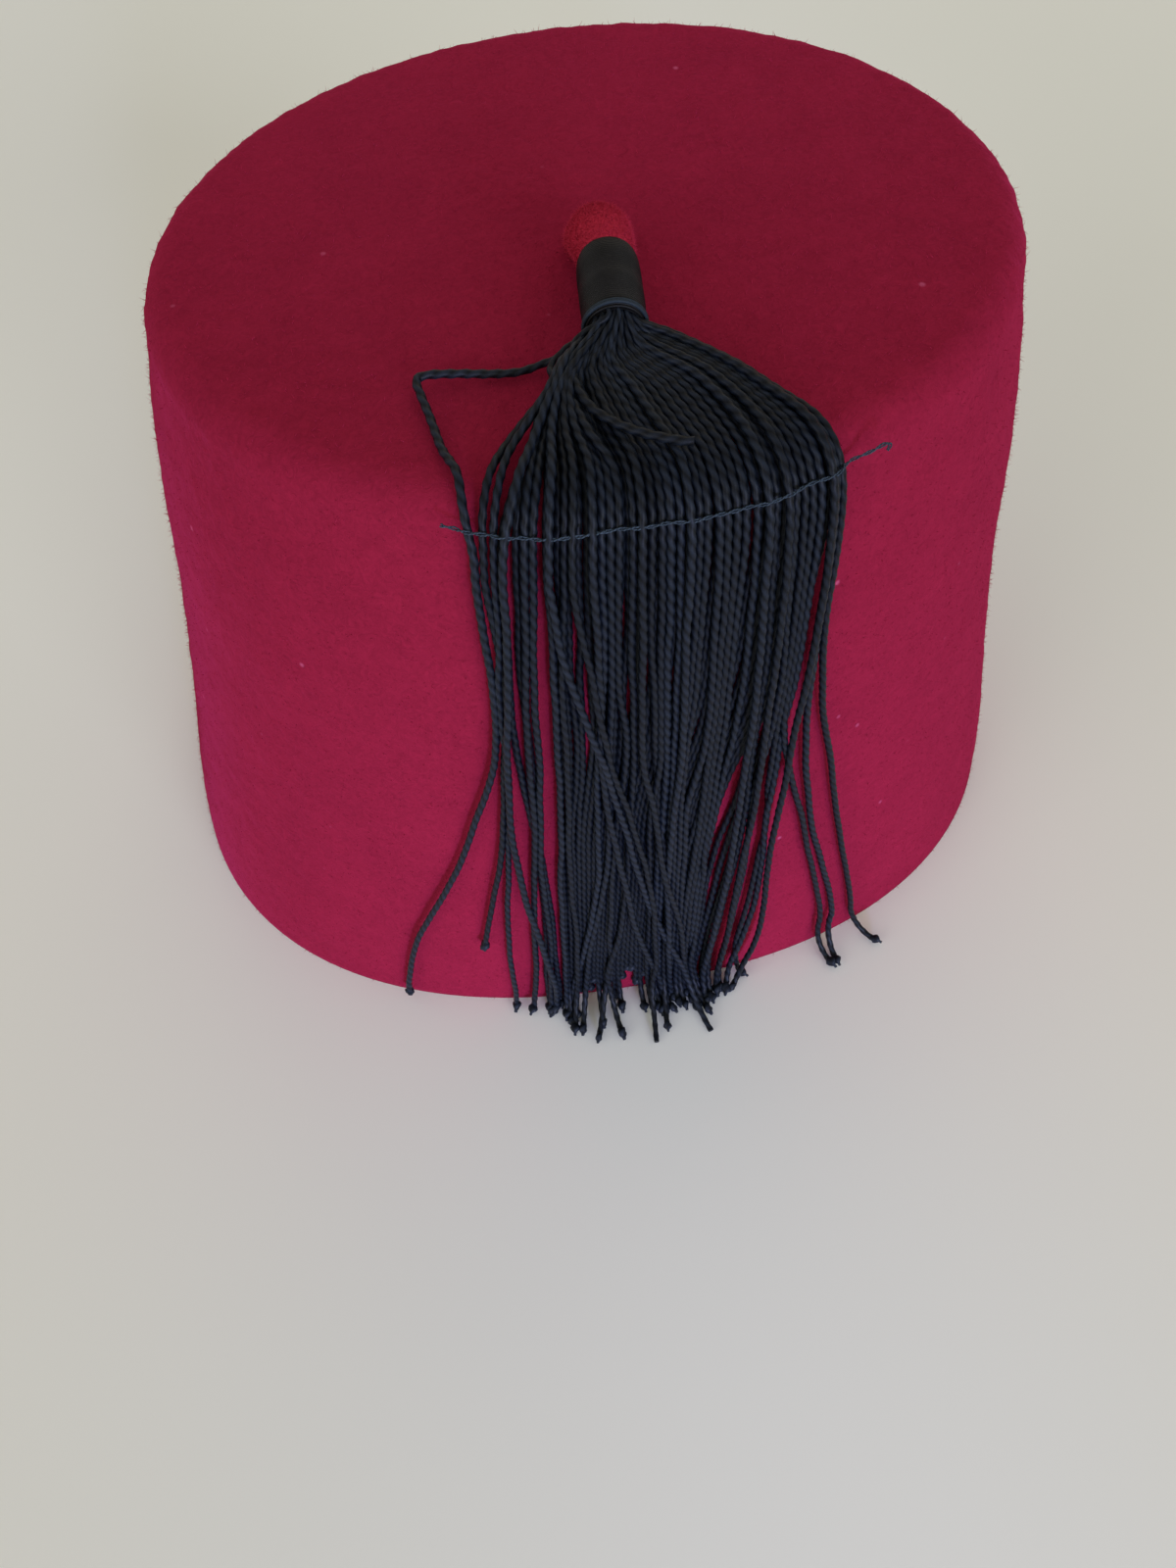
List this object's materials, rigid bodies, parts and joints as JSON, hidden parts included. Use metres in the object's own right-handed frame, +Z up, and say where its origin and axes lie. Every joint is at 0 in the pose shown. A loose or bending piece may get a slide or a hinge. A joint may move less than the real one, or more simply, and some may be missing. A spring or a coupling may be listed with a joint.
{
  "type": "fez hat",
  "caption": "Hollow felt fez hat with a flat oval top, slanting wall and short felt stem, whose black tassel fans over the front edge and hangs down the wall.",
  "frame": {"origin": "on the surface that the hat stands on, below the middle of the whole hat with its tassel", "axes": "+Z up, +X along the long axis of the oval rim, and the tassel hangs towards -Y"},
  "size_m": [0.2056, 0.1804, 0.1535],
  "materials": {
    "crown_felt": "matte wool felt",
    "stem_felt": "soft brushed felt",
    "bound_thread": "satin wound thread",
    "twisted_cord": "low sheen twisted cord"
  },
  "bodies": {
    "root": {"crown": "crown_felt", "stem": "stem_felt", "tassel_head": "bound_thread", "tassel_fringe": "twisted_cord"}
  },
  "joints": []
}
